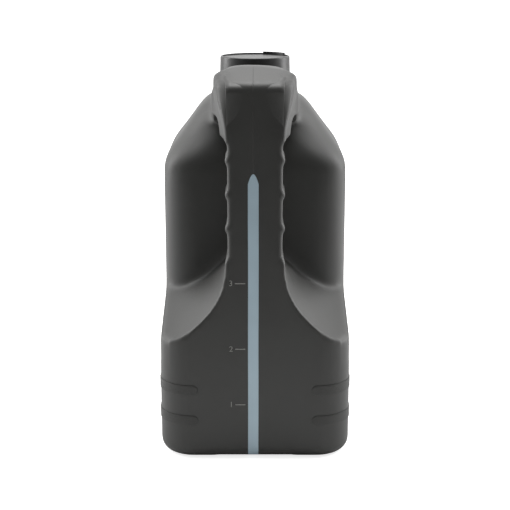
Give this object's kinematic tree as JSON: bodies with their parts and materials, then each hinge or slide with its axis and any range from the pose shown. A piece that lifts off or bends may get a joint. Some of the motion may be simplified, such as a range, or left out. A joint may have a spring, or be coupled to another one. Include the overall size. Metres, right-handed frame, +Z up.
{
  "type": "motor oil bottle",
  "caption": "Blow-moulded motor oil jug with a hollow grip handle, a fill-level view strip and a screw cap.",
  "frame": {"origin": "middle of the base, on the surface that the jug stands on", "axes": "+Z up, X across the jug, Y along it with the handle at -Y"},
  "size_m": [0.136, 0.196, 0.2746],
  "materials": {
    "jug_plastic": "satin",
    "cap_plastic": "satin",
    "liner_foam": "matte"
  },
  "bodies": {
    "jug": {"bottle": "jug_plastic", "tamper_band": "cap_plastic"},
    "liner": {"cap_liner": "liner_foam"},
    "cap": {"screw_cap": "cap_plastic"}
  },
  "joints": [
    {"name": "cap_lift", "type": "slide", "parent": "jug", "child": "liner", "axis": [0, 0, 1], "range_m": [0, 0.0101]},
    {"name": "cap_turn", "type": "hinge", "parent": "liner", "child": "cap", "pos_m": [0, 0.028, 0.26], "axis": [0, 0, 1], "range_deg": [0, 720]}
  ],
  "couplings": [
    {"joint": "cap_lift", "follows": "cap_turn", "m_per_rad": 0.00079577}
  ]
}
